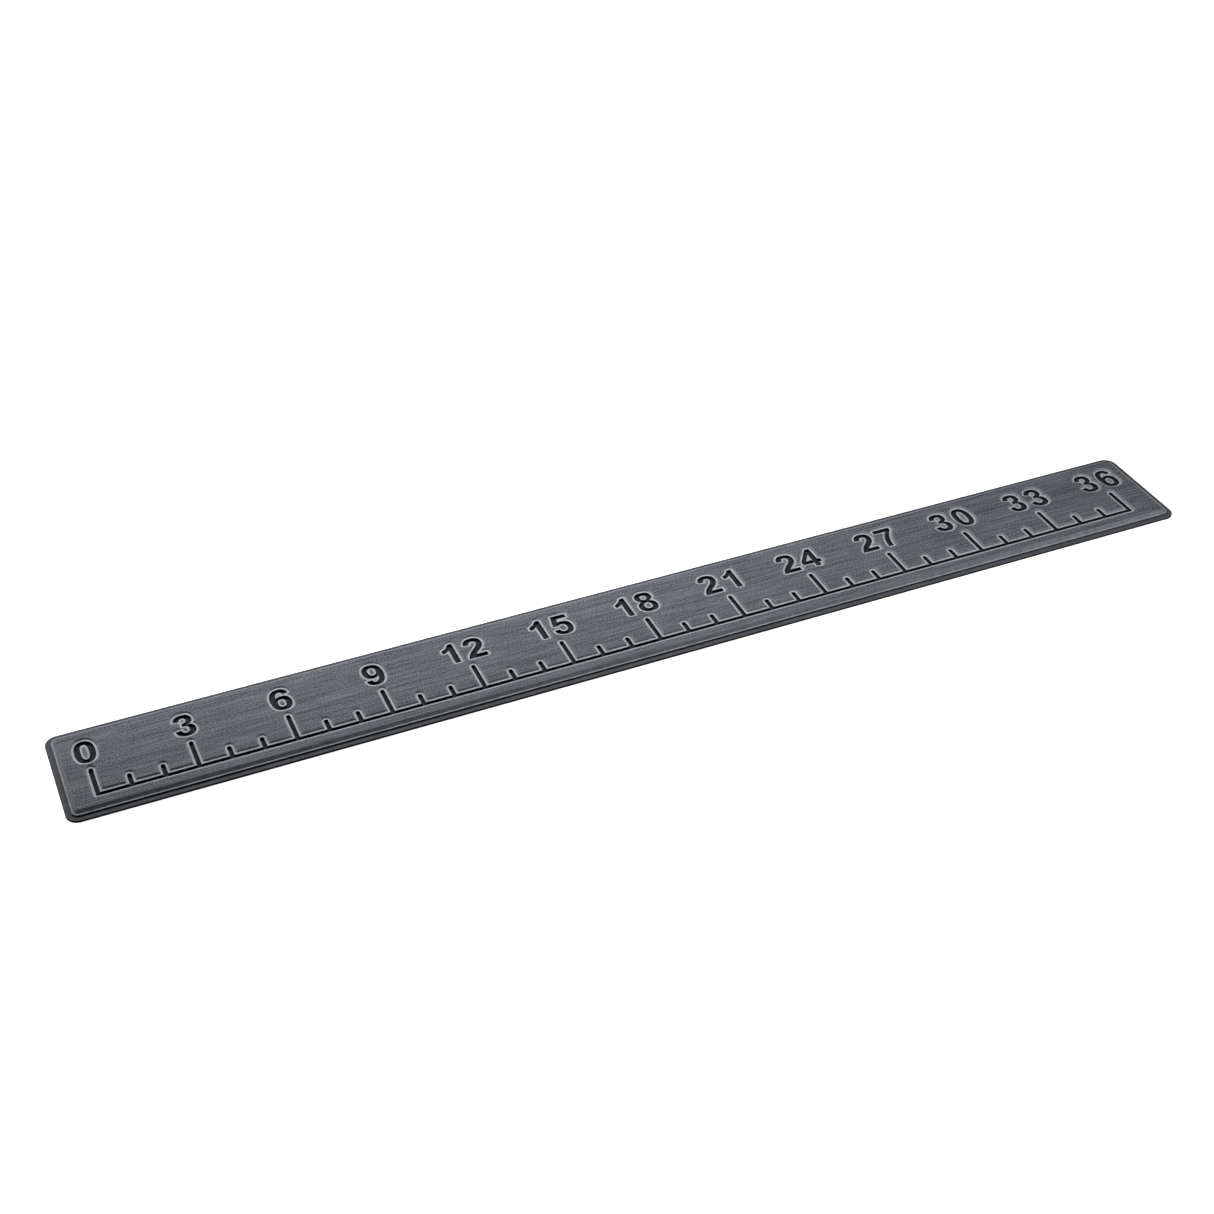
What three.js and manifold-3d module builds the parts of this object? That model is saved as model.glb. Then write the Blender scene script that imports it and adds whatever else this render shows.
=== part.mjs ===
// A self-adhesive foam measuring strip, 0 to 36 inches, for sticking to a deck, bench or cutting table.
// Two foam sheets are bonded together. The numerals and the scale are routed right through the upper
// sheet, so that the darker lower sheet shows as their floor, and the centre of each closed numeral
// is left standing on the lower sheet as a loose island. Under them lie a film of pressure-sensitive
// adhesive and the paper liner that is pulled off before the strip is stuck down.
//
// Millimetres. X runs along the scale from 0 to 36, Y from the scale to the numerals, and Z is up.
// The origin is in the middle of the underside.

import * as THREE from 'three';
import { mergeVertices } from 'three/addons/utils/BufferGeometryUtils.js';
import Module from 'manifold-3d';

const wasm = await Module();
wasm.setup();

// ---------------------------------------------------------------- driving dimensions

// The lower sheet, which is the outline of the whole strip.
const BOARD_LENGTH = 977;
const BOARD_WIDTH = 101.6;
const BOARD_CORNER_RADIUS = 10;
const CORNER_SEGMENTS = 8;

// Layers, from the underside up.
const LINER_THICKNESS = 0.12;
const LINER_RELEASE_GAP = 0.03;
const ADHESIVE_THICKNESS = 0.15;
const LOWER_SHEET_THICKNESS = 1.5;
const UPPER_SHEET_THICKNESS = 3.75;

// The edge of the upper sheet, from the outside in: the lower sheet's ledge, a narrow flat land at
// the top of a square step, and a 45 degree chamfer up to the measuring face.
const LEDGE_WIDTH = 4.6;
const LAND_WIDTH = 1.4;
const CHAMFER = 2.35;

// The scale: a long slot with a tick at every inch, and a longer tick at every third inch.
const INCH = 25.4;
const LAST_INCH = 36;
const INCHES_PER_NUMBER = 3;
const ZERO_X = -461.8;
const BASELINE_Y = -30.3;
const SLOT_WIDTH = 3.4;
const LONG_TICK = 30.3;
const SHORT_TICK = 13.3;
const CURVE_SEGMENTS = 4;

// The numerals stand 25 mm tall on their own line above the long ticks.
const NUMERAL_FOOT_Y = BASELINE_Y + 38;
const NINE_WIDTH = 16.3;
const NUMERAL_HEIGHT = 25;

// The cutters run past both faces of the upper sheet.
const CUTTER_OVERRUN = 1;

// Heights worked out from the layers.
const ADHESIVE_Z = LINER_THICKNESS + LINER_RELEASE_GAP;
const LOWER_SHEET_Z = ADHESIVE_Z + ADHESIVE_THICKNESS;
const UPPER_SHEET_Z = LOWER_SHEET_Z + LOWER_SHEET_THICKNESS;
const MEASURING_FACE_Z = UPPER_SHEET_Z + UPPER_SHEET_THICKNESS;

// ---------------------------------------------------------------- numerals

// Plain block numerals. Each outline starts with M x y, and goes on with straight lines, L x y, and
// curves, Q control x y, end x y. x is from the numeral's left edge and y from its foot.
const NUMERALS = {
  0: {
    outline: 'M 8 25.4 Q 16 25.4 16 12.5 Q 16 -0.4 8 -0.4 Q 0 -0.4 0 12.5 Q 0 25.4 8 25.4',
    counters: ['M 8 21.3 Q 4.7 21.3 4.7 12.5 Q 4.7 3.7 8 3.7 Q 11.3 3.7 11.3 12.5 Q 11.3 21.3 8 21.3'],
  },
  1: {
    outline: 'M 10.4 0 L 10.4 25 L 6.9 25 Q 4.9 20.4 0 18.6 L 0 14.3 Q 3.2 15.3 5.8 17.7 L 5.8 0',
    counters: [],
  },
  2: {
    outline: `M 16 0 L 16 4.4 L 6.9 4.4 Q 7.6 5.7 10.6 8.3 Q 16 12.8 16 18 Q 16 25.4 8.3 25.4
      Q 1 25.4 0.5 17.8 L 5.2 17.3 Q 5.4 21.3 8.2 21.3 Q 11.3 21.3 11.3 17.9 Q 11.3 15.3 6.8 11.2
      Q 0.8 5.9 0 0`,
    counters: [],
  },
  3: {
    outline: `M 0 6.8 Q 0.9 -0.4 7.9 -0.4 Q 15.9 -0.4 15.9 7.2 Q 15.9 12 11.4 13.2 Q 14.9 14.9 14.9 18.6
      Q 14.9 25.4 7.8 25.4 Q 1.3 25.4 0.4 18.6 L 4.8 17.9 Q 5.2 21.4 7.7 21.4 Q 10.3 21.4 10.3 18.5
      Q 10.3 15.2 6.6 15.2 L 6.1 11.4 Q 11.1 12.3 11.1 7.7 Q 11.1 3.7 7.9 3.7 Q 5 3.7 4.6 7.4`,
    counters: [],
  },
  4: {
    outline: `M 10.2 0 L 14.8 0 L 14.8 5 L 17.6 5 L 17.6 9.2 L 14.8 9.2 L 14.8 25 L 10.7 25 L 0 9.4
      L 0 5 L 10.2 5`,
    counters: ['M 10.2 9.2 L 4.4 9.2 L 10.2 17.8'],
  },
  5: {
    outline: `M 0 6.6 Q 0.9 -0.4 8 -0.4 Q 16.4 -0.4 16.4 8.4 Q 16.4 16.7 9.2 16.7 Q 7.5 16.7 5.9 15.9
      L 6.7 20.6 L 15.4 20.6 L 15.4 25 L 3.1 25 L 0.7 11.9 L 4.5 11.3 Q 6 13 8 13 Q 11.8 13 11.8 8.3
      Q 11.8 3.5 8.1 3.5 Q 5.1 3.5 4.7 7`,
    counters: [],
  },
  6: {
    outline: `M 15.8 19.1 L 11.3 18.6 Q 10.9 21.4 8.7 21.4 Q 5.2 21.4 4.8 14.5 Q 6.7 16.6 9.3 16.6
      Q 16.3 16.6 16.3 8.3 Q 16.3 -0.4 8.5 -0.4 Q 0 -0.4 0 12.2 Q 0 25.4 8.9 25.4 Q 14.7 25.4 15.8 19.1`,
    counters: ['M 8.5 12.9 Q 5.2 12.9 5.2 8.2 Q 5.2 3.6 8.6 3.6 Q 11.8 3.6 11.8 8.1 Q 11.8 12.9 8.5 12.9'],
  },
  7: {
    outline: 'M 0 20.6 L 0 25 L 16 25 L 16 21.6 Q 8.4 12.6 7.9 0 L 3.3 0 Q 3.8 11.8 11 20.6',
    counters: [],
  },
  8: {
    outline: `M 8.1 25.4 Q 15.4 25.4 15.4 19.1 Q 15.4 15.1 11.6 13.6 Q 16.2 11.8 16.2 7.2
      Q 16.2 -0.4 8.1 -0.4 Q 0 -0.4 0 7.2 Q 0 11.8 4.6 13.6 Q 0.8 15.1 0.8 19.1 Q 0.8 25.4 8.1 25.4`,
    counters: [
      'M 8.1 21.6 Q 5.3 21.6 5.3 18.6 Q 5.3 15.4 8.1 15.4 Q 10.9 15.4 10.9 18.6 Q 10.9 21.6 8.1 21.6',
      'M 8.1 11.6 Q 4.7 11.6 4.7 7.6 Q 4.7 3.5 8.1 3.5 Q 11.5 3.5 11.5 7.6 Q 11.5 11.6 8.1 11.6',
    ],
  },
};

// Each number along the scale, and the space between its two numerals.
const NUMBERS = [
  { text: '0', space: 0 },
  { text: '3', space: 0 },
  { text: '6', space: 0 },
  { text: '9', space: 0 },
  { text: '12', space: 7.4 },
  { text: '15', space: 7.4 },
  { text: '18', space: 7.4 },
  { text: '21', space: 7.4 },
  { text: '24', space: 4.1 },
  { text: '27', space: 5.3 },
  { text: '30', space: 6.3 },
  { text: '33', space: 6.5 },
  { text: '36', space: 6.3 },
];

// ---------------------------------------------------------------- outlines

// The corner points of an outline string, with its curves divided into short chords.
function outlinePoints(outline) {
  const words = outline.trim().split(/\s+/);
  const path = new THREE.Path();
  let at = 0;
  const next = () => Number(words[at++]);
  while (at < words.length) {
    const command = words[at++];
    if (command === 'M') path.moveTo(next(), next());
    if (command === 'L') path.lineTo(next(), next());
    if (command === 'Q') path.quadraticCurveTo(next(), next(), next(), next());
  }
  return path.getPoints(CURVE_SEGMENTS);
}

// One numeral's outline and counters as point lists. A nine is a six turned half round.
function numeralPoints(digit) {
  if (digit !== '9') {
    const { outline, counters } = NUMERALS[digit];
    return { outline: outlinePoints(outline), counters: counters.map(outlinePoints) };
  }
  const six = numeralPoints('6');
  const turn = (points) => points.map((p) => new THREE.Vector2(NINE_WIDTH - p.x, NUMERAL_HEIGHT - p.y));
  return { outline: turn(six.outline), counters: six.counters.map(turn) };
}

function move(points, dx, dy) {
  return points.map((p) => new THREE.Vector2(p.x + dx, p.y + dy));
}

// A number of one or two numerals, centred over its tick.
function numberPoints({ text, space }, centreX) {
  const glyphs = [...text].map(numeralPoints);
  const widths = glyphs.map((glyph) => Math.max(...glyph.outline.map((p) => p.x)));
  const total = widths.reduce((sum, width) => sum + width, 0) + space * (text.length - 1);
  let left = centreX - total / 2;
  return glyphs.map((glyph, index) => {
    const outline = move(glyph.outline, left, NUMERAL_FOOT_Y);
    const counters = glyph.counters.map((counter) => move(counter, left, NUMERAL_FOOT_Y));
    left += widths[index] + space;
    return { outline, counters };
  });
}

// The comb of the scale: the long slot along the bottom, and a round-topped tick at each inch.
function scaleShape() {
  const half = SLOT_WIDTH / 2;
  const shape = new THREE.Shape();
  shape.moveTo(ZERO_X - half, BASELINE_Y - half);
  shape.lineTo(ZERO_X + LAST_INCH * INCH + half, BASELINE_Y - half);
  for (let inch = LAST_INCH; inch >= 0; inch -= 1) {
    const x = ZERO_X + inch * INCH;
    const tick = inch % INCHES_PER_NUMBER === 0 ? LONG_TICK : SHORT_TICK;
    if (inch < LAST_INCH) shape.lineTo(x + half, BASELINE_Y + half);
    shape.lineTo(x + half, BASELINE_Y + tick - half);
    shape.absarc(x, BASELINE_Y + tick - half, half, 0, Math.PI, false);
    if (inch > 0) shape.lineTo(x - half, BASELINE_Y + half);
  }
  return shape;
}

// ---------------------------------------------------------------- solids

// A rounded rectangle concentric with the board, drawn in from its edge.
function boardRing(inset) {
  const halfX = BOARD_LENGTH / 2 - inset;
  const halfY = BOARD_WIDTH / 2 - inset;
  const radius = BOARD_CORNER_RADIUS - inset;
  const ring = [];
  const corners = [[1, 1], [-1, 1], [-1, -1], [1, -1]];
  corners.forEach(([signX, signY], quarter) => {
    for (let step = 0; step <= CORNER_SEGMENTS; step += 1) {
      const angle = (quarter + step / CORNER_SEGMENTS) * Math.PI / 2;
      const x = signX * (halfX - radius) + radius * Math.cos(angle);
      const y = signY * (halfY - radius) + radius * Math.sin(angle);
      ring.push(new THREE.Vector2(x, y));
    }
  });
  return ring;
}

// A closed slab whose outline steps through the given levels, each an inset and a height.
function slabGeometry(levels) {
  const positions = [];
  const indices = [];
  const count = boardRing(0).length;
  for (const { inset, z } of levels) {
    for (const point of boardRing(inset)) positions.push(point.x, point.y, z);
  }
  for (let level = 0; level + 1 < levels.length; level += 1) {
    for (let side = 0; side < count; side += 1) {
      const a = level * count + side;
      const b = level * count + (side + 1) % count;
      indices.push(a, b, b + count, a, b + count, a + count);
    }
  }
  const top = (levels.length - 1) * count;
  for (let side = 1; side + 1 < count; side += 1) {
    indices.push(0, side + 1, side);
    indices.push(top, top + side, top + side + 1);
  }
  const geometry = new THREE.BufferGeometry();
  geometry.setAttribute('position', new THREE.Float32BufferAttribute(positions, 3));
  geometry.setIndex(indices);
  return geometry;
}

function extrude(shape, bottom, top) {
  const options = { depth: top - bottom, bevelEnabled: false, curveSegments: CURVE_SEGMENTS };
  const geometry = new THREE.ExtrudeGeometry(shape, options);
  geometry.translate(0, 0, bottom);
  return geometry;
}

function toSolid(geometry) {
  const bare = geometry.clone();
  bare.deleteAttribute('normal');
  bare.deleteAttribute('uv');
  const welded = mergeVertices(bare);
  const vertProperties = new Float32Array(welded.attributes.position.array);
  const triVerts = new Uint32Array(welded.index.array);
  return new wasm.Manifold(new wasm.Mesh({ numProp: 3, vertProperties, triVerts }));
}

function fromSolid(solid) {
  const { vertProperties, triVerts } = solid.getMesh();
  const geometry = new THREE.BufferGeometry();
  geometry.setAttribute('position', new THREE.Float32BufferAttribute(vertProperties, 3));
  geometry.setIndex([...triVerts]);
  return geometry;
}

// ---------------------------------------------------------------- materials

const lowerFoam = () => new THREE.MeshStandardMaterial({ color: 0x51555b, roughness: 0.9, metalness: 0 });
const upperFoam = () => new THREE.MeshStandardMaterial({ color: 0x61666c, roughness: 0.85, metalness: 0 });
const glue = () => new THREE.MeshStandardMaterial({ color: 0xc9c7bd, roughness: 0.35, metalness: 0 });
const kraftPaper = () => new THREE.MeshStandardMaterial({ color: 0xc8b08a, roughness: 0.6, metalness: 0 });

// ---------------------------------------------------------------- assembly

const strip = new THREE.Group();

function add(name, geometry, material) {
  const mesh = new THREE.Mesh(geometry, material);
  mesh.name = name;
  strip.add(mesh);
}

function flatLayer(bottom, top) {
  return slabGeometry([{ inset: 0, z: bottom }, { inset: 0, z: top }]);
}

function upperSheet() {
  const slab = slabGeometry([
    { inset: LEDGE_WIDTH, z: UPPER_SHEET_Z },
    { inset: LEDGE_WIDTH, z: MEASURING_FACE_Z - CHAMFER },
    { inset: LEDGE_WIDTH + LAND_WIDTH, z: MEASURING_FACE_Z - CHAMFER },
    { inset: LEDGE_WIDTH + LAND_WIDTH + CHAMFER, z: MEASURING_FACE_Z },
  ]);
  const cut = (solid, shape) => {
    const cutter = extrude(shape, UPPER_SHEET_Z - CUTTER_OVERRUN, MEASURING_FACE_Z + CUTTER_OVERRUN);
    return solid.subtract(toSolid(cutter));
  };
  let solid = cut(toSolid(slab), scaleShape());
  for (const glyph of numbers.flatMap((number) => number.glyphs)) {
    solid = cut(solid, new THREE.Shape(glyph.outline));
  }
  return fromSolid(solid);
}

const numbers = NUMBERS.map((number, index) => {
  const centreX = ZERO_X + index * INCHES_PER_NUMBER * INCH;
  return { text: number.text, glyphs: numberPoints(number, centreX) };
});

add('release_liner', flatLayer(0, LINER_THICKNESS), kraftPaper());
add('adhesive_film', flatLayer(ADHESIVE_Z, LOWER_SHEET_Z), glue());
add('lower_foam_sheet', flatLayer(LOWER_SHEET_Z, UPPER_SHEET_Z), lowerFoam());
add('upper_foam_sheet', upperSheet(), upperFoam());

// The islands inside the closed numerals. An eight has an upper and a lower one.
for (const { text, glyphs } of numbers) {
  for (const { counters } of glyphs) {
    counters.forEach((counter, index) => {
      const level = ['_upper', '_lower'][index];
      const name = `island_in_${text}${counters.length > 1 ? level : ''}`;
      add(name, extrude(new THREE.Shape(counter), UPPER_SHEET_Z, MEASURING_FACE_Z), upperFoam());
    });
  }
}

export default strip;
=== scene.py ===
# The looks of a self-adhesive foam measuring strip, 0 to 36 inches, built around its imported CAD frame.
# Blender works in metres. Flat outlines are drawn in millimetres and scaled as their mesh is made.
# X runs along the scale from 0 to 36, Y from the scale to the numerals, and Z is up.

import math

import bpy
import numpy as np
from mathutils import Matrix, Vector
from mathutils.geometry import delaunay_2d_cdt


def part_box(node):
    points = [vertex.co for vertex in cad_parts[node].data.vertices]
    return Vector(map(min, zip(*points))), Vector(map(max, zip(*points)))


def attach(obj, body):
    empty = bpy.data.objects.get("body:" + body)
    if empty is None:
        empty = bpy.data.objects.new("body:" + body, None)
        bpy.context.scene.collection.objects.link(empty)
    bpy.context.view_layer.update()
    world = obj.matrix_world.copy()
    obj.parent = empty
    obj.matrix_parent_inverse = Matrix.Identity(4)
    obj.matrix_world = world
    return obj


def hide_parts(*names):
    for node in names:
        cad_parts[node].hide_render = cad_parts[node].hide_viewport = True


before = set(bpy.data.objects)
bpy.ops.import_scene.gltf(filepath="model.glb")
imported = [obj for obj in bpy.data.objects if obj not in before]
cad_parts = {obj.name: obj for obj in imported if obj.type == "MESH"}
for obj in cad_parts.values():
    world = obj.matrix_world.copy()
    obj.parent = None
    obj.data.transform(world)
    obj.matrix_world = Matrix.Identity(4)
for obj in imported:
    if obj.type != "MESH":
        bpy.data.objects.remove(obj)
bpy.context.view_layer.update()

MM = 0.001

# ---------------------------------------------------------------- driving dimensions, millimetres

BOARD_CORNER_RADIUS = 10
CORNER_STEPS = 14

# The edge of the upper sheet, from the outside in.
LAND_WIDTH = 1.4
CHAMFER = 2.35
ARRIS = 0.3

# Where a bevel rounds over into the measuring face. It turns at this depth, and ends this much
# further in.
FACE_ARRIS_DEPTH = 0.15
FACE_ARRIS_RUN = 0.2

# The lower sheet's arris, and how far under the upper sheet the painted shade on the floor of the marks
# begins.
LOWER_ARRIS = 0.35
FLOOR_START = 1

# How far each thin layer's narrower side is drawn in from its wider side, where the knife has cut it.
ADHESIVE_TAPER = 0.05
LINER_TAPER = 0.02

# A rounded arris is two chords, which meet this share of its radius in from both faces.
ARRIS_MIDDLE = 0.29

# The scale.
INCH = 25.4
LAST_INCH = 36
INCHES_PER_NUMBER = 3
ZERO_X = -461.8
BASELINE_Y = -30.3
SLOT_WIDTH = 3.4
LONG_TICK = 30.3
SHORT_TICK = 13.3
TICK_END_STEPS = 12

# The numerals, whose feet stand in one row above the long line.
NUMERAL_RISE = 38
NUMERAL_FOOT_Y = BASELINE_Y + NUMERAL_RISE
NUMERAL_HEIGHT = 25
NINE_WIDTH = 16.3

# The router's second pass leaves a flat land and a steep bevel around every mark. The profile goes from
# the slot's wall outwards: a distance from the wall, and a depth below the measuring face. The bevel
# turns into the measuring face just before its own width ends.
LAND_DEPTH = 1.4
MARK_ARRIS = 0.12
MARK_LAND = 1.75
MARK_BEVEL = 1.05
TURN_BEFORE_END = 0.05
MARK_TURN = MARK_LAND + MARK_BEVEL - TURN_BEFORE_END
MARK_REACH = MARK_LAND + MARK_BEVEL + FACE_ARRIS_RUN
MARK_PROFILE = (
    (0, LAND_DEPTH + MARK_ARRIS),
    (MARK_ARRIS, LAND_DEPTH),
    (MARK_LAND, LAND_DEPTH),
    (MARK_TURN, FACE_ARRIS_DEPTH),
    (MARK_REACH, 0),
)

# The mesh has a ring of points around each mark at every turn of the profile, one halfway over the land
# and two on the bevel.
HALF_LAND = 1
BEVEL_RINGS = (2.1, 2.45)
RING_DISTANCES = (MARK_ARRIS, HALF_LAND, MARK_LAND, *BEVEL_RINGS, MARK_TURN, MARK_REACH)


def box_mm(node):
    """The two corners of a frame node's box, in millimetres."""
    low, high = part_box(node)
    return low / MM, high / MM


LOWER_LOW, LOWER_HIGH = box_mm("lower_foam_sheet")
UPPER_LOW, UPPER_HIGH = box_mm("upper_foam_sheet")
ADHESIVE_LOW, ADHESIVE_HIGH = box_mm("adhesive_film")
LINER_LOW, LINER_HIGH = box_mm("release_liner")
BOARD_HALF_X = LOWER_HIGH.x
BOARD_HALF_Y = LOWER_HIGH.y
LEDGE_WIDTH = BOARD_HALF_X - UPPER_HIGH.x
FACE_INSET = LEDGE_WIDTH + LAND_WIDTH + CHAMFER
FACE_Z = UPPER_HIGH.z

# ---------------------------------------------------------------- camera

LENS = 56.394
SENSOR_WIDTH = 36
CLIP_END = 50
CAMERA_PLACE = Vector((-0.52175, -1.12691, 0.96415))
CAMERA_TARGET = Vector((-0.02607, 0.0318, 0))
CAMERA_ROLL = math.radians(-0.372)


def make_camera():
    """The camera fitted to the photograph, with its roll."""
    data = bpy.data.cameras.new("camera")
    data.lens = LENS
    data.sensor_width = SENSOR_WIDTH
    data.clip_end = CLIP_END
    camera = bpy.data.objects.new("camera", data)
    bpy.context.scene.collection.objects.link(camera)
    aim = (CAMERA_TARGET - CAMERA_PLACE).to_track_quat("-Z", "Y").to_matrix().to_4x4()
    roll = Matrix.Rotation(CAMERA_ROLL, 4, "Z")
    camera.matrix_world = Matrix.Translation(CAMERA_PLACE) @ aim @ roll
    bpy.context.scene.camera = camera


# ---------------------------------------------------------------- numerals

# Plain block numerals, 25 mm tall. Each outline starts with M x y, and goes on with straight lines,
# L x y, and curves, Q control x y, end x y. x is from the numeral's left edge and y from its foot.
NUMERALS = {
    "0": (
        "M 8 25.4 Q 16 25.4 16 12.5 Q 16 -0.4 8 -0.4 Q 0 -0.4 0 12.5 Q 0 25.4 8 25.4",
        "M 8 21.3 Q 4.7 21.3 4.7 12.5 Q 4.7 3.7 8 3.7 Q 11.3 3.7 11.3 12.5 Q 11.3 21.3 8 21.3",
    ),
    "1": ("M 10.4 0 L 10.4 25 L 6.9 25 Q 4.9 20.4 0 18.6 L 0 14.3 Q 3.2 15.3 5.8 17.7 L 5.8 0",),
    "2": (
        """M 16 0 L 16 4.4 L 6.9 4.4 Q 7.6 5.7 10.6 8.3 Q 16 12.8 16 18 Q 16 25.4 8.3 25.4
        Q 1 25.4 0.5 17.8 L 5.2 17.3 Q 5.4 21.3 8.2 21.3 Q 11.3 21.3 11.3 17.9
        Q 11.3 15.3 6.8 11.2 Q 0.8 5.9 0 0""",
    ),
    "3": (
        """M 0 6.8 Q 0.9 -0.4 7.9 -0.4 Q 15.9 -0.4 15.9 7.2 Q 15.9 12 11.4 13.2 Q 14.9 14.9 14.9 18.6
        Q 14.9 25.4 7.8 25.4 Q 1.3 25.4 0.4 18.6 L 4.8 17.9 Q 5.2 21.4 7.7 21.4 Q 10.3 21.4 10.3 18.5
        Q 10.3 15.2 6.6 15.2 L 6.1 11.4 Q 11.1 12.3 11.1 7.7 Q 11.1 3.7 7.9 3.7 Q 5 3.7 4.6 7.4""",
    ),
    "4": (
        """M 10.2 0 L 14.8 0 L 14.8 5 L 17.6 5 L 17.6 9.2 L 14.8 9.2 L 14.8 25 L 10.7 25 L 0 9.4
        L 0 5 L 10.2 5""",
        "M 10.2 9.2 L 4.4 9.2 L 10.2 17.8",
    ),
    "5": (
        """M 0 6.6 Q 0.9 -0.4 8 -0.4 Q 16.4 -0.4 16.4 8.4 Q 16.4 16.7 9.2 16.7 Q 7.5 16.7 5.9 15.9
        L 6.7 20.6 L 15.4 20.6 L 15.4 25 L 3.1 25 L 0.7 11.9 L 4.5 11.3 Q 6 13 8 13
        Q 11.8 13 11.8 8.3 Q 11.8 3.5 8.1 3.5 Q 5.1 3.5 4.7 7""",
    ),
    "6": (
        """M 15.8 19.1 L 11.3 18.6 Q 10.9 21.4 8.7 21.4 Q 5.2 21.4 4.8 14.5 Q 6.7 16.6 9.3 16.6
        Q 16.3 16.6 16.3 8.3 Q 16.3 -0.4 8.5 -0.4 Q 0 -0.4 0 12.2 Q 0 25.4 8.9 25.4
        Q 14.7 25.4 15.8 19.1""",
        "M 8.5 12.9 Q 5.2 12.9 5.2 8.2 Q 5.2 3.6 8.6 3.6 Q 11.8 3.6 11.8 8.1 Q 11.8 12.9 8.5 12.9",
    ),
    "7": ("M 0 20.6 L 0 25 L 16 25 L 16 21.6 Q 8.4 12.6 7.9 0 L 3.3 0 Q 3.8 11.8 11 20.6",),
    "8": (
        """M 8.1 25.4 Q 15.4 25.4 15.4 19.1 Q 15.4 15.1 11.6 13.6 Q 16.2 11.8 16.2 7.2
        Q 16.2 -0.4 8.1 -0.4 Q 0 -0.4 0 7.2 Q 0 11.8 4.6 13.6 Q 0.8 15.1 0.8 19.1
        Q 0.8 25.4 8.1 25.4""",
        "M 8.1 21.6 Q 5.3 21.6 5.3 18.6 Q 5.3 15.4 8.1 15.4 Q 10.9 15.4 10.9 18.6 Q 10.9 21.6 8.1 21.6",
        "M 8.1 11.6 Q 4.7 11.6 4.7 7.6 Q 4.7 3.5 8.1 3.5 Q 11.5 3.5 11.5 7.6 Q 11.5 11.6 8.1 11.6",
    ),
}

# Each number along the scale, and the space between its two numerals.
NUMBERS = (
    ("0", 0), ("3", 0), ("6", 0), ("9", 0), ("12", 7.4), ("15", 7.4), ("18", 7.4),
    ("21", 7.4), ("24", 4.1), ("27", 5.3), ("30", 6.3), ("33", 6.5), ("36", 6.3),
)

# ---------------------------------------------------------------- outlines

CURVE_STEPS = 8
LONGEST_CHORD = 1.6
SAME_POINT = 1e-6

# The cutter rounds a slot's corners that turn by more than SHARP_TURN, over less than half of each
# side.
CUTTER_RADIUS = 0.6
SHARP_TURN = math.radians(28)
MOST_OF_SIDE = 0.45
CORNER_CUTS = 4


def curve_between(start, control, end, steps):
    """Points along a curve that leaves start and reaches end, bent towards control."""
    shares = [step / steps for step in range(steps + 1)]
    return [(1 - u) ** 2 * start + 2 * u * (1 - u) * control + u * u * end for u in shares]


def curve_points(outline):
    """The points of an outline string, with its curves divided into short chords."""
    words = iter(outline.split())
    points = []
    for command in words:
        if command in "ML":
            points.append(np.array((float(next(words)), float(next(words)))))
            continue
        control = np.array((float(next(words)), float(next(words))))
        end = np.array((float(next(words)), float(next(words))))
        points += curve_between(points[-1], control, end, CURVE_STEPS)[1:]
    if np.linalg.norm(points[0] - points[-1]) < SAME_POINT:
        points.pop()
    return np.array(points)


def signed_area(points):
    """The area inside an outline, above zero where it runs anticlockwise."""
    x, y = points.T
    return (x @ np.roll(y, -1) - y @ np.roll(x, -1)) / 2


def wound(points, anticlockwise):
    """An outline's points, turned round if they run the other way."""
    return points if (signed_area(points) > 0) == anticlockwise else points[::-1]


def round_corners(points):
    """Rounds each sharp corner inside a slot by the cutter's radius. The foam's own corners stay sharp.
    The outline is wound so that the foam is on its left."""
    rounded = []
    for index, here in enumerate(points):
        back = points[index - 1] - here
        ahead = points[(index + 1) % len(points)] - here
        back_length, ahead_length = np.linalg.norm(back), np.linalg.norm(ahead)
        turn = math.pi - math.acos(np.clip(back @ ahead / (back_length * ahead_length), -1, 1))
        foam_corner = back[0] * ahead[1] - back[1] * ahead[0] < 0
        if foam_corner or turn < SHARP_TURN:
            rounded.append(here)
            continue
        most = MOST_OF_SIDE * min(back_length, ahead_length)
        reach = min(CUTTER_RADIUS * math.tan(turn / 2), most)
        start = here + back / back_length * reach
        end = here + ahead / ahead_length * reach
        rounded += curve_between(start, here, end, CORNER_CUTS)
    return np.array(rounded)


def divided(points):
    """An outline with its long straight sides divided into chords."""
    chords = []
    for here, after in zip(points, np.roll(points, -1, axis=0)):
        count = math.ceil(np.linalg.norm(after - here) / LONGEST_CHORD)
        chords += [here + (after - here) * step / count for step in range(count)]
    return np.array(chords)


def numeral_outlines(digit):
    """A numeral's outline and counters. A nine is a six turned half round."""
    if digit == "9":
        return [(NINE_WIDTH, NUMERAL_HEIGHT) - points for points in numeral_outlines("6")]
    return [curve_points(outline) for outline in NUMERALS[digit]]


def number_outlines(text, space, centre_x):
    """The outlines and counters of a number, centred over its tick. space is between its numerals."""
    glyphs = [numeral_outlines(digit) for digit in text]
    widths = [glyph[0][:, 0].max() for glyph in glyphs]
    left = centre_x - (sum(widths) + space * (len(text) - 1)) / 2
    placed = []
    for glyph, width in zip(glyphs, widths):
        placed.append([points + (left, NUMERAL_FOOT_Y) for points in glyph])
        left += width + space
    return placed


def numbers_on_scale():
    """Each number along the scale, as its text and the outlines and counters of its numerals."""
    numbers = []
    for index, (text, space) in enumerate(NUMBERS):
        centre_x = ZERO_X + index * INCHES_PER_NUMBER * INCH
        numbers.append((text, number_outlines(text, space, centre_x)))
    return numbers


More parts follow.
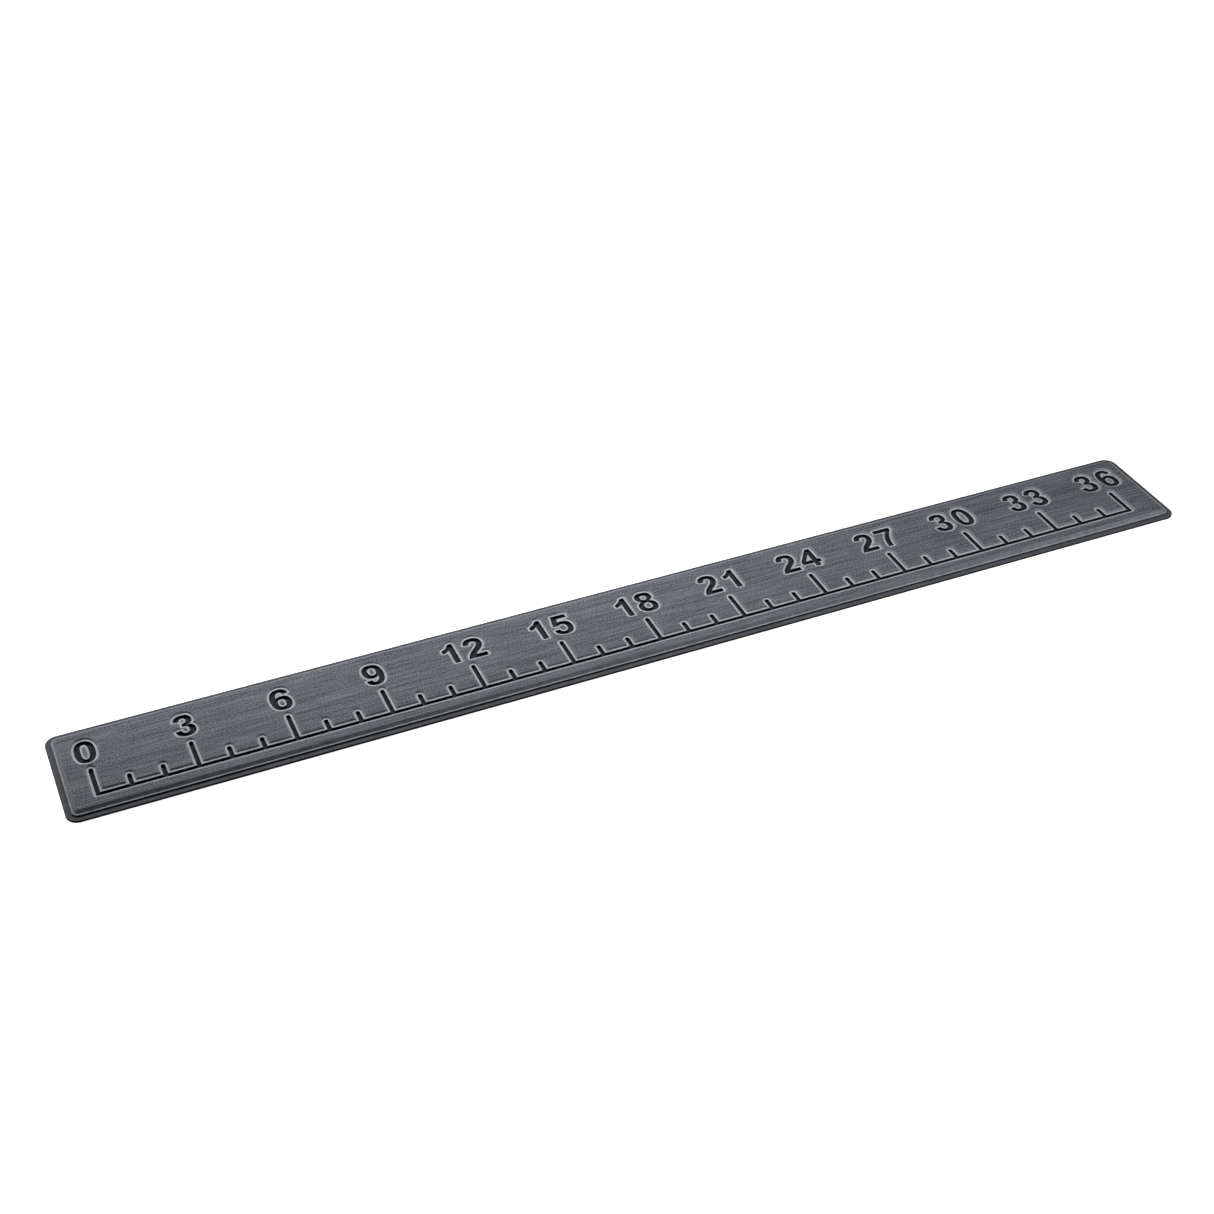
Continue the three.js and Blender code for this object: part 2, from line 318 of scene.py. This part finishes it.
def scale_outline():
    """The comb of the scale: the long slot, and a round-topped tick at each inch."""
    half = SLOT_WIDTH / 2
    end_x = ZERO_X + LAST_INCH * INCH
    points = [(ZERO_X - half, BASELINE_Y - half), (end_x + half, BASELINE_Y - half)]
    for inch in range(LAST_INCH, -1, -1):
        x = ZERO_X + inch * INCH
        centre_y = BASELINE_Y + (SHORT_TICK if inch % INCHES_PER_NUMBER else LONG_TICK) - half
        if inch < LAST_INCH:
            points.append((x + half, BASELINE_Y + half))
        for step in range(TICK_END_STEPS + 1):
            angle = math.pi * step / TICK_END_STEPS
            points.append((x + half * math.cos(angle), centre_y + half * math.sin(angle)))
        if inch > 0:
            points.append((x - half, BASELINE_Y + half))
    return np.array(points)


def board_ring(inset):
    """A rounded rectangle concentric with the board, drawn in from its edge."""
    radius = BOARD_CORNER_RADIUS - inset
    ring = []
    for quarter, (sign_x, sign_y) in enumerate(((1, 1), (-1, 1), (-1, -1), (1, -1))):
        for step in range(CORNER_STEPS + 1):
            angle = (quarter + step / CORNER_STEPS) * math.pi / 2
            x = sign_x * (BOARD_HALF_X - BOARD_CORNER_RADIUS) + radius * math.cos(angle)
            y = sign_y * (BOARD_HALF_Y - BOARD_CORNER_RADIUS) + radius * math.sin(angle)
            ring.append((x, y))
    return np.array(ring)


# ---------------------------------------------------------------- distances in the plane

CHUNK = 2000
RING_ARC = math.radians(18)

# Clearances from a mark are only worked out up to here.
CLEARANCE_LIMIT = MARK_REACH + 1


def distance_to(points, loop):
    """How far each point is from a closed outline. The points are taken a chunk at a time."""
    along = np.roll(loop, -1, axis=0) - loop
    square = (along ** 2).sum(1)
    nearest = np.empty(len(points))
    for first in range(0, len(points), CHUNK):
        offset = points[first:first + CHUNK, None] - loop[None]
        share = np.clip((offset * along).sum(2) / square, 0, 1)
        gap = offset - share[..., None] * along
        nearest[first:first + CHUNK] = np.sqrt((gap ** 2).sum(2).min(1))
    return nearest


def clearance(points, loops):
    """How far each point is from the nearest outline, up to the limit."""
    nearest = np.full(len(points), CLEARANCE_LIMIT)
    for loop in loops:
        low, high = loop.min(0) - CLEARANCE_LIMIT, loop.max(0) + CLEARANCE_LIMIT
        near = ((points > low) & (points < high)).all(1)
        if near.any():
            nearest[near] = np.minimum(nearest[near], distance_to(points[near], loop))
    return nearest


def inside(points, loop):
    """Which points lie inside a closed outline."""
    within = np.zeros(len(points), bool)
    low, high = loop.min(0), loop.max(0)
    near = np.flatnonzero(((points > low) & (points < high)).all(1))
    x, y = points[near].T
    crossings = np.zeros(len(near), int)
    for (x0, y0), (x1, y1) in zip(loop, np.roll(loop, -1, axis=0)):
        spans = (y0 > y) != (y1 > y)
        if spans.any():
            crossings[spans] += x[spans] < x0 + (y[spans] - y0) / (y1 - y0) * (x1 - x0)
    within[near] = crossings % 2 == 1
    return within


def drawn_in(loop, inset):
    """An outline moved into the foam on its left, mitred at foam corners and round at slot corners."""
    moved = []
    for index, here in enumerate(loop):
        before = here - loop[index - 1]
        after = loop[(index + 1) % len(loop)] - here
        before, after = before / np.linalg.norm(before), after / np.linalg.norm(after)
        normal_before = np.array((-before[1], before[0]))
        normal_after = np.array((-after[1], after[0]))
        turn = math.atan2(before[0] * after[1] - before[1] * after[0], before @ after)
        arcs = max(1, math.ceil(-turn / RING_ARC))
        if arcs == 1:
            middle = normal_before + normal_after
            moved.append(here + middle * inset / (1 + normal_before @ normal_after))
            continue
        for step in range(arcs + 1):
            angle = math.atan2(normal_before[1], normal_before[0]) + turn * step / arcs
            moved.append(here + inset * np.array((math.cos(angle), math.sin(angle))))
    return np.array(moved)


# ---------------------------------------------------------------- meshes

SMOOTH_BELOW = math.radians(16)
MERGE_WITHIN = 0.02

# A ring's point or chord is kept if it is as far from every mark as its ring should be, less this slack.
POINT_SLACK = 0.01
CHORD_SHARE = 0.98
CHORD_SLACK = 0.02

# The points over the middle of an island, which stay this far inside its last ring of land.
MIDDLE_STEP = 0.6
MIDDLE_GAP = 0.1


def link_mesh(name, vertices, faces, materials, face_material=None):
    """A closed mesh object from millimetre points. face_material chooses a face's material, out of
    materials, by its centre in millimetres and its normal."""
    mesh = bpy.data.meshes.new(name)
    mesh.from_pydata([Vector(v) * MM for v in vertices], [], faces)
    mesh.validate()
    piece = bpy.data.objects.new(name, mesh)
    bpy.context.scene.collection.objects.link(piece)
    for material in materials:
        mesh.materials.append(material)
    if face_material:
        for polygon in mesh.polygons:
            chosen = face_material(polygon.center / MM, polygon.normal)
            polygon.material_index = materials.index(chosen)
    mesh.shade_smooth()
    mesh.set_sharp_from_angle(angle=SMOOTH_BELOW)
    return piece


def band(below, above):
    """The quads between two closed rows of vertex numbers, the lower row first."""
    return list(zip(below, below[1:] + below[:1], above[1:] + above[:1], above))


def slab(name, profile, materials, face_material=None):
    """A closed board-shaped slab. profile goes up its edge, each step an inset and a height."""
    vertices, rows = [], []
    for inset, z in profile:
        ring = [(x, y, z) for x, y in board_ring(inset)]
        rows.append(list(range(len(vertices), len(vertices) + len(ring))))
        vertices += ring
    faces = [tuple(reversed(rows[0]))]
    for below, above in zip(rows, rows[1:]):
        faces += band(below, above)
    faces.append(tuple(rows[-1]))
    return link_mesh(name, vertices, faces, materials, face_material)


def triangulate(points, edges):
    """A Delaunay triangulation that keeps the edges: its points, its triangles, and the number that each
    old point has now."""
    corners = [Vector(p) for p in points]
    made, _, triangles, old, _, _ = delaunay_2d_cdt(corners, edges, [], 0, MERGE_WITHIN)
    place = {}
    for index, sources in enumerate(old):
        for source in sources:
            place[source] = index
    return np.array([(p.x, p.y) for p in made]), triangles, place


def outline_net(outlines):
    """The points of some closed outlines, the edges that close them, and where each outline starts."""
    points, edges, starts = [], [], []
    for outline in outlines:
        first, count = len(points), len(outline)
        starts.append(first)
        edges += [(first + side, first + (side + 1) % count) for side in range(count)]
        points += [tuple(point) for point in outline]
    return points, edges, starts


def add_rings(points, edges, loops, island):
    """Adds the rings of points and edges around the marks, wherever they are clear of every mark."""
    for distance in RING_DISTANCES:
        for loop in loops:
            ring = drawn_in(loop, distance)
            middles = (ring + np.roll(ring, -1, axis=0)) / 2
            kept = clearance(ring, loops) > distance - POINT_SLACK
            chord_kept = clearance(middles, loops) > distance * CHORD_SHARE - CHORD_SLACK
            if island:
                kept &= inside(ring, loop)
            number = {}
            for index in np.flatnonzero(kept):
                number[index] = len(points)
                points.append(tuple(ring[index]))
            for index in number:
                after = (index + 1) % len(ring)
                if after in number and chord_kept[index]:
                    edges.append((number[index], number[after]))


def island_middle(loop):
    """Points over the middle of an island, where the rings drawn in from its outline no longer fit."""
    low, high = loop.min(0), loop.max(0)
    columns = np.arange(low[0], high[0], MIDDLE_STEP)
    rows = np.arange(low[1], high[1], MIDDLE_STEP)
    grid = np.stack(np.meshgrid(columns, rows), 2).reshape(-1, 2)
    grid = grid[inside(grid, loop)]
    return [tuple(point) for point in grid[clearance(grid, [loop]) > MARK_LAND + MIDDLE_GAP]]


def foam_only(made, triangles, loops, island):
    """The triangles that are foam: those in an island's outline, or outside all of a sheet's marks."""
    centres = made[np.array(triangles)].mean(1)
    within = np.any([inside(centres, loop) for loop in loops], axis=0)
    return [triangle for triangle, hit in zip(triangles, within) if hit == island]


def foam_with_marks(name, loops, edge_profile):
    """Routed foam: flat on top, and stepped down to each outline in loops, with walls to its underside.
    The foam lies on the left of each outline. edge_profile is the outer edge from the bottom up, as
    insets and heights, or empty for an island, whose only edge is its one outline."""
    island = not edge_profile
    border = [] if island else board_ring(edge_profile[-1][0])
    points, edges, starts = outline_net([border, *loops])

    top_points, top_edges = list(points), list(edges)
    add_rings(top_points, top_edges, loops, island)
    if island:
        top_points += island_middle(loops[0])
    made, triangles, top = triangulate(top_points, top_edges)
    heights = FACE_Z - np.interp(clearance(made, loops), *zip(*MARK_PROFILE))
    vertices = [(x, y, z) for (x, y), z in zip(made, heights)]
    faces = foam_only(made, triangles, loops, island)

    # The underside is the same outline without the rings, with its border moved out to the bottom edge.
    made, triangles, place = triangulate(points, edges)
    if not island:
        points[:len(border)] = board_ring(edge_profile[0][0])
    bottom = {}
    for index, (x, y) in enumerate(points):
        bottom[place[index]] = len(vertices)
        vertices.append((x, y, UPPER_LOW.z))
    for triangle in foam_only(made, triangles, loops, island):
        faces.append(tuple(bottom[corner] for corner in reversed(triangle)))

    # The walls of the marks, and then the outer edge, row by row.
    for start, loop in zip(starts[1:], loops):
        numbers = range(start, start + len(loop))
        faces += band([bottom[place[number]] for number in numbers], [top[number] for number in numbers])
    below = [bottom[place[number]] for number in range(len(border))]
    for inset, z in edge_profile[1:-1]:
        row = list(range(len(vertices), len(vertices) + len(border)))
        vertices += [(x, y, z) for x, y in board_ring(inset)]
        faces += band(below, row)
        below = row
    faces += band(below, [top[number] for number in range(len(border))])
    return link_mesh(name, vertices, faces, UPPER_MATERIALS, upper_material)


# ---------------------------------------------------------------- materials

NOISE_ROUGHNESS = 0.55

# The middle part of a noise, which is spread over a whole range of roughness.
NOISE_LOW = 0.3
NOISE_HIGH = 0.7

# The positions of the dark, middle and light shades in a foam's or a paper's colour ramp, and in the
# brushed skin's, which has more contrast.
SHADE_STOPS = (0.36, 0.5, 0.64)
SKIN_STOPS = (0.43, 0.5, 0.57)

# Noise scales, per metre along X, Y and Z.
FINE_CELLS = (2600, 2600, 2600)
CELLS = (1600, 1600, 1600)
CUT_LINES = (500, 500, 3500)
LAND_PATCHES = (160, 160, 160)
PATCHES = (140, 140, 140)
LONG_PATCHES = (60, 140, 140)

# Bump distances, in metres.
SKIN_RELIEF = 0.00012
FOAM_RELIEF = 0.0001
ADHESIVE_RELIEF = 0.00005
PAPER_RELIEF = 0.00004

# Specular levels.
SKIN_SPECULAR = 0.3
FOAM_SPECULAR = 0.25
COATED_SPECULAR = 0.5


def new_material(name):
    """A new material with its nodes and links."""
    material = bpy.data.materials.new(name)
    material.use_nodes = True
    return material, material.node_tree.nodes, material.node_tree.links


def stretched_noise(nodes, links, scale, detail):
    """Noise in the object's own frame, with a scale per metre along each axis."""
    place = nodes.new("ShaderNodeTexCoord")
    mapping = nodes.new("ShaderNodeMapping")
    mapping.inputs["Scale"].default_value = scale
    noise = nodes.new("ShaderNodeTexNoise")
    noise.inputs["Scale"].default_value = 1.0
    noise.inputs["Detail"].default_value = detail
    noise.inputs["Roughness"].default_value = NOISE_ROUGHNESS
    links.new(place.outputs["Object"], mapping.inputs["Vector"])
    links.new(mapping.outputs["Vector"], noise.inputs["Vector"])
    return noise.outputs["Fac"]


def weighted_sum(nodes, links, parts):
    """The sum of value sockets, each times its weight."""
    total = None
    for socket, weight in parts:
        times = nodes.new("ShaderNodeMath")
        times.operation = "MULTIPLY_ADD"
        links.new(socket, times.inputs[0])
        times.inputs[1].default_value = weight
        if total:
            links.new(total, times.inputs[2])
        else:
            times.inputs[2].default_value = 0
        total = times.outputs[0]
    return total


def ramp(nodes, links, value, positions, shades):
    """A colour ramp through linear colours, each at its position."""
    node = nodes.new("ShaderNodeValToRGB")
    elements = node.color_ramp.elements
    while len(elements) < len(shades):
        elements.new(0.5)
    for element, position, shade in zip(elements, positions, shades):
        element.position = position
        element.color = (*shade, 1)
    links.new(value, node.inputs["Fac"])
    return node.outputs["Color"]


def spread(nodes, links, value, low, high):
    """A noise spread between low and high."""
    node = nodes.new("ShaderNodeMapRange")
    links.new(value, node.inputs["Value"])
    node.inputs["From Min"].default_value = NOISE_LOW
    node.inputs["From Max"].default_value = NOISE_HIGH
    node.inputs["To Min"].default_value = low
    node.inputs["To Max"].default_value = high
    return node.outputs["Result"]


def finish_surface(nodes, links, colour, roughness, relief, distance, specular):
    """Gives the shader its colour, roughness and specular level, and a bump from relief."""
    shader = nodes["Principled BSDF"]
    bump = nodes.new("ShaderNodeBump")
    bump.inputs["Distance"].default_value = distance
    bump.inputs["Strength"].default_value = 1
    links.new(relief, bump.inputs["Height"])
    links.new(colour, shader.inputs["Base Color"])
    links.new(roughness, shader.inputs["Roughness"])
    links.new(bump.outputs["Normal"], shader.inputs["Normal"])
    shader.inputs["Specular IOR Level"].default_value = specular


def brushed_skin():
    """The grey skin of the upper sheet, brushed lengthwise: scratches, broad bands and grain."""
    material, nodes, links = new_material("brushed_skin")
    streaks = stretched_noise(nodes, links, (16, 1150, 16), 2)
    fine = stretched_noise(nodes, links, (60, 2800, 60), 1)
    bands = stretched_noise(nodes, links, (3, 90, 3), 2)
    grain = stretched_noise(nodes, links, (900, 1100, 900), 2)
    parts = ((streaks, 0.31), (grain, 0.47), (fine, 0.14), (bands, 0.08))
    tone = weighted_sum(nodes, links, parts)
    shades = ((0.042, 0.048, 0.056), (0.112, 0.125, 0.143), (0.222, 0.244, 0.272))
    colour = ramp(nodes, links, tone, SKIN_STOPS, shades)
    roughness = spread(nodes, links, streaks, 0.62, 0.78)
    relief = weighted_sum(nodes, links, ((fine, 0.5), (grain, 0.35), (streaks, 0.15)))
    finish_surface(nodes, links, colour, roughness, relief, SKIN_RELIEF, SKIN_SPECULAR)
    return material


def foam(name, grain, patches, shades, roughness):
    """Bare foam: fine cells and soft patches, in three shades from dark to light."""
    material, nodes, links = new_material(name)
    cells = stretched_noise(nodes, links, grain, 2)
    soft = stretched_noise(nodes, links, patches, 2)
    tone = weighted_sum(nodes, links, ((cells, 0.6), (soft, 0.4)))
    colour = ramp(nodes, links, tone, SHADE_STOPS, shades)
    dullness = spread(nodes, links, cells, *roughness)
    finish_surface(nodes, links, colour, dullness, cells, FOAM_RELIEF, FOAM_SPECULAR)
    return material


def adhesive():
    """Milky pressure-sensitive adhesive, with faint flow marks along the roll."""
    material, nodes, links = new_material("adhesive_film")
    flow = stretched_noise(nodes, links, (12, 150, 12), 3)
    specks = stretched_noise(nodes, links, (900, 900, 900), 1)
    tone = weighted_sum(nodes, links, ((flow, 0.6), (specks, 0.4)))
    shades = ((0.50, 0.48, 0.42), (0.66, 0.64, 0.58))
    colour = ramp(nodes, links, tone, (SHADE_STOPS[0], SHADE_STOPS[-1]), shades)
    roughness = spread(nodes, links, specks, 0.25, 0.45)
    finish_surface(nodes, links, colour, roughness, flow, ADHESIVE_RELIEF, COATED_SPECULAR)
    return material


def kraft_paper():
    """Silicone-coated kraft liner: long fibres, small flecks and a low sheen."""
    material, nodes, links = new_material("kraft_liner")
    fibres = stretched_noise(nodes, links, (220, 1500, 220), 4)
    crossing = stretched_noise(nodes, links, (1300, 260, 1300), 3)
    clouds = stretched_noise(nodes, links, (30, 45, 30), 3)
    tone = weighted_sum(nodes, links, ((fibres, 0.4), (crossing, 0.3), (clouds, 0.3)))
    shades = ((0.40, 0.28, 0.16), (0.52, 0.385, 0.235), (0.62, 0.48, 0.31))
    colour = ramp(nodes, links, tone, SHADE_STOPS, shades)
    roughness = spread(nodes, links, clouds, 0.38, 0.55)
    finish_surface(nodes, links, colour, roughness, fibres, PAPER_RELIEF, COATED_SPECULAR)
    return material


SKIN = brushed_skin()
# The upper sheet is paler inside than on its skin. Its lands are freshly opened cells, and the lands
# round the marks are painted lighter as a painted highlight. Its bevels are smoother and carry painted
# shade, and its upright walls, streaked by the cutter, carry darker painted shade, darkest inside the
# marks.
LAND = foam(
    "edge_land", FINE_CELLS, LAND_PATCHES,
    ((0.235, 0.25, 0.27), (0.31, 0.33, 0.355), (0.39, 0.415, 0.445)), (0.75, 0.9),
)
# Painted highlight: the lands round the marks are a lighter copy of the edge land's cut foam, standing
# in for light catching the mark rims.
MARK_RIM_HIGHLIGHT = foam(
    "mark_land_painted_highlight", FINE_CELLS, LAND_PATCHES,
    ((0.33, 0.35, 0.375), (0.43, 0.455, 0.485), (0.53, 0.56, 0.595)), (0.75, 0.9),
)
# Painted shade: the bevels are a darker copy of the cut foam, shaded by their slope.
SHADED_BEVEL = foam(
    "routed_bevel_painted_shade", FINE_CELLS, LAND_PATCHES,
    ((0.175, 0.187, 0.204), (0.235, 0.25, 0.272), (0.30, 0.32, 0.345)), (0.72, 0.88),
)
# Painted shade: the upright walls at the edge are a dark copy of the cut foam, standing in for shade on
# faces turned from the light.
SHADED_WALL = foam(
    "step_wall_painted_shade", CUT_LINES, PATCHES,
    ((0.045, 0.05, 0.057), (0.062, 0.068, 0.078), (0.085, 0.093, 0.104)), (0.7, 0.9),
)
# Painted shade: the walls inside the marks are near black, standing in for the shade down in the slots.
SHADED_SLOT_WALL = foam(
    "slot_wall_painted_shade", CUT_LINES, PATCHES,
    ((0.009, 0.01, 0.012), (0.014, 0.0155, 0.018), (0.021, 0.023, 0.026)), (0.8, 0.95),
)
CHARCOAL = foam(
    "charcoal_foam", CELLS, LONG_PATCHES,
    ((0.06, 0.067, 0.077), (0.083, 0.091, 0.103), (0.11, 0.12, 0.134)), (0.75, 0.92),
)
# Painted shade: the lower sheet's upright edge is a darker copy of the charcoal foam, shaded by facing
# sideways.
SHADED_CUT_EDGE = foam(
    "charcoal_edge_painted_shade", CUT_LINES, PATCHES,
    ((0.034, 0.038, 0.044), (0.048, 0.053, 0.061), (0.066, 0.073, 0.083)), (0.75, 0.92),
)
# Painted shade: the lower sheet's top under the marks is painted near black, standing in for the shade
# at the bottom of the slots.
SHADED_SLOT_FLOOR = foam(
    "charcoal_floor_painted_shade", CELLS, PATCHES,
    ((0.016, 0.018, 0.022), (0.024, 0.027, 0.032), (0.035, 0.039, 0.045)), (0.8, 0.95),
)
ADHESIVE = adhesive()
LINER = kraft_paper()
UPPER_MATERIALS = (SKIN, MARK_RIM_HIGHLIGHT, SHADED_BEVEL, SHADED_SLOT_WALL, LAND, SHADED_WALL)
LOWER_MATERIALS = (CHARCOAL, SHADED_SLOT_FLOOR, SHADED_CUT_EDGE)

# How far up a face's normal points at least where the face is skin, a flat land or a bevel, and how far
# up or down on the lower sheet's broad faces. Skin lies within SKIN_DEPTH of the top, and a face that
# covers the board's middle has its centre within MIDDLE_WITHIN of it.
SKIN_DEPTH = 0.01
MIDDLE_WITHIN = 1
SKIN_UP = 0.5
LAND_UP = 0.95
BEVEL_UP = 0.3
BROAD_UP = 0.9


def upper_material(centre, normal):
    """The material of a face of the upper sheet: skin on its top, and cut foam by its slope, with
    painted shade on bevels and upright walls and a painted highlight on the lands round the marks.
    """
    far_x, far_y = BOARD_HALF_X - FACE_INSET, BOARD_HALF_Y - FACE_INSET
    at_edge = abs(centre.x) > far_x or abs(centre.y) > far_y
    if centre.z > FACE_Z - SKIN_DEPTH and normal.z > SKIN_UP:
        return SKIN
    if normal.z > LAND_UP:
        return LAND if at_edge else MARK_RIM_HIGHLIGHT
    if normal.z > BEVEL_UP:
        return SHADED_BEVEL
    return SHADED_WALL if at_edge else SHADED_SLOT_WALL


def lower_material(centre, normal):
    """The material of a face of the lower sheet: painted shade on the upright cut edge, and darker
    painted shade on the middle of the top, which is seen through the marks."""
    if abs(normal.z) < BROAD_UP:
        return SHADED_CUT_EDGE
    in_middle = centre.xy.length < MIDDLE_WITHIN
    return SHADED_SLOT_FLOOR if normal.z > 0 and in_middle else CHARCOAL


# ---------------------------------------------------------------- pieces

def finish_piece(piece, body, node):
    """Says which body a piece moves with and which CAD node it replaces."""
    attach(piece, body)
    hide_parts(node)


def rounded_edge(low, high, radius):
    """The profile of a square edge with both arrises rounded, from the bottom up."""
    corner = ARRIS_MIDDLE * radius
    return (
        (radius, low), (corner, low + corner), (0, low + radius),
        (0, high - radius), (corner, high - corner), (radius, high),
    )


def make_lower_sheet():
    """The charcoal sheet, which stands out as a ledge and is the floor of every mark."""
    profile = (
        *rounded_edge(LOWER_LOW.z, LOWER_HIGH.z, LOWER_ARRIS),
        (LEDGE_WIDTH + FLOOR_START, LOWER_HIGH.z),
    )
    piece = slab("charcoal_sheet", profile, LOWER_MATERIALS, lower_material)
    finish_piece(piece, "strip", "lower_foam_sheet")


def make_adhesive():
    """The film of adhesive over the whole underside."""
    profile = ((ADHESIVE_TAPER, ADHESIVE_LOW.z), (0, ADHESIVE_HIGH.z))
    piece = slab("adhesive_layer", profile, (ADHESIVE,))
    finish_piece(piece, "strip", "adhesive_film")


def make_liner():
    """The paper that covers the adhesive until the strip is stuck down."""
    profile = ((0, LINER_LOW.z), (LINER_TAPER, LINER_HIGH.z))
    piece = slab("paper_liner", profile, (LINER,))
    finish_piece(piece, "liner", "release_liner")


def make_upper_sheet(numbers):
    """The grey sheet, with the comb of the scale and every numeral cut through it."""
    loops = [round_corners(wound(scale_outline(), False))]
    for _, glyphs in numbers:
        loops += [divided(round_corners(wound(glyph[0], False))) for glyph in glyphs]
    land_z = FACE_Z - CHAMFER
    edge = (
        (LEDGE_WIDTH, UPPER_LOW.z),
        (LEDGE_WIDTH, land_z - ARRIS),
        (LEDGE_WIDTH + ARRIS_MIDDLE * ARRIS, land_z - ARRIS_MIDDLE * ARRIS),
        (LEDGE_WIDTH + ARRIS, land_z),
        (LEDGE_WIDTH + LAND_WIDTH, land_z),
        (FACE_INSET - FACE_ARRIS_DEPTH, FACE_Z - FACE_ARRIS_DEPTH),
        (FACE_INSET + FACE_ARRIS_RUN, FACE_Z),
    )
    piece = foam_with_marks("grey_sheet", loops, edge)
    finish_piece(piece, "strip", "upper_foam_sheet")


def make_islands(numbers):
    """The loose centre of each closed numeral. An eight has an upper and a lower one."""
    for text, glyphs in numbers:
        for glyph in glyphs:
            for index, counter in enumerate(glyph[1:]):
                level = ("_upper", "_lower")[index] if len(glyph) > 2 else ""
                loop = divided(round_corners(wound(counter, True)))
                piece = foam_with_marks(f"centre_of_{text}{level}", [loop], ())
                finish_piece(piece, "strip", f"island_in_{text}{level}")


# ---------------------------------------------------------------- floor and light

FLOOR_SIZE = 8
FLOOR_WHITE = 0.9
FLOOR_ROUGHNESS = 0.8
AMBIENT = 0.02

# Each light: its name, its place and size in metres, its power in watts, its turn about Z, and its tilt
# about its length, both in degrees.
LIGHTS = (
    ("strip_light", (-0.99, 0.51, 0.44), (2.6, 0.12), 10, -17, -7),
    ("fill_light", (0.48, -0.27, 0.4), (0.25, 0.25), 1.2, 0, 30),
)


def make_floor():
    """A floor that is white to the camera and sends no light back onto the strip."""
    half = FLOOR_SIZE / 2
    corners = [(-half, -half, 0), (half, -half, 0), (half, half, 0), (-half, half, 0)]
    mesh = bpy.data.meshes.new("floor")
    mesh.from_pydata(corners, [], [(0, 1, 2, 3)])
    floor = bpy.data.objects.new("floor", mesh)
    bpy.context.scene.collection.objects.link(floor)
    material, nodes, _ = new_material("pale_floor")
    shader = nodes["Principled BSDF"]
    shader.inputs["Base Color"].default_value = (FLOOR_WHITE, FLOOR_WHITE, FLOOR_WHITE, 1)
    shader.inputs["Roughness"].default_value = FLOOR_ROUGHNESS
    shader.inputs["Emission Color"].default_value = (1, 1, 1, 1)
    shader.inputs["Emission Strength"].default_value = 1
    mesh.materials.append(material)
    floor.visible_diffuse = False
    floor.visible_glossy = False


def area_light(name, place, size, power, turn, tilt):
    """A rectangular light facing down, turned about Z after it is tilted about its length."""
    data = bpy.data.lights.new(name, "AREA")
    data.shape = "RECTANGLE"
    data.size, data.size_y = size
    data.energy = power
    light = bpy.data.objects.new(name, data)
    bpy.context.scene.collection.objects.link(light)
    turned = Matrix.Rotation(math.radians(turn), 4, "Z")
    tilted = Matrix.Rotation(math.radians(tilt), 4, "X")
    light.matrix_world = Matrix.Translation(place) @ turned @ tilted
    light.visible_camera = False


def make_lights():
    """The two lights, and a world that is white to the camera and dim to everything else."""
    for light in LIGHTS:
        area_light(*light)
    world = bpy.data.worlds.new("world")
    bpy.context.scene.world = world
    world.use_nodes = True
    nodes, links = world.node_tree.nodes, world.node_tree.links
    background = nodes["Background"]
    background.inputs["Color"].default_value = (1, 1, 1, 1)
    rays = nodes.new("ShaderNodeLightPath")
    seen = nodes.new("ShaderNodeMapRange")
    links.new(rays.outputs["Is Camera Ray"], seen.inputs["Value"])
    seen.inputs["To Min"].default_value = AMBIENT
    seen.inputs["To Max"].default_value = 1
    links.new(seen.outputs["Result"], background.inputs["Strength"])


# ---------------------------------------------------------------- the scene

numbers = numbers_on_scale()
make_camera()
make_lower_sheet()
make_adhesive()
make_liner()
make_upper_sheet(numbers)
make_islands(numbers)
make_floor()
make_lights()
bpy.context.scene.view_settings.view_transform = "Standard"
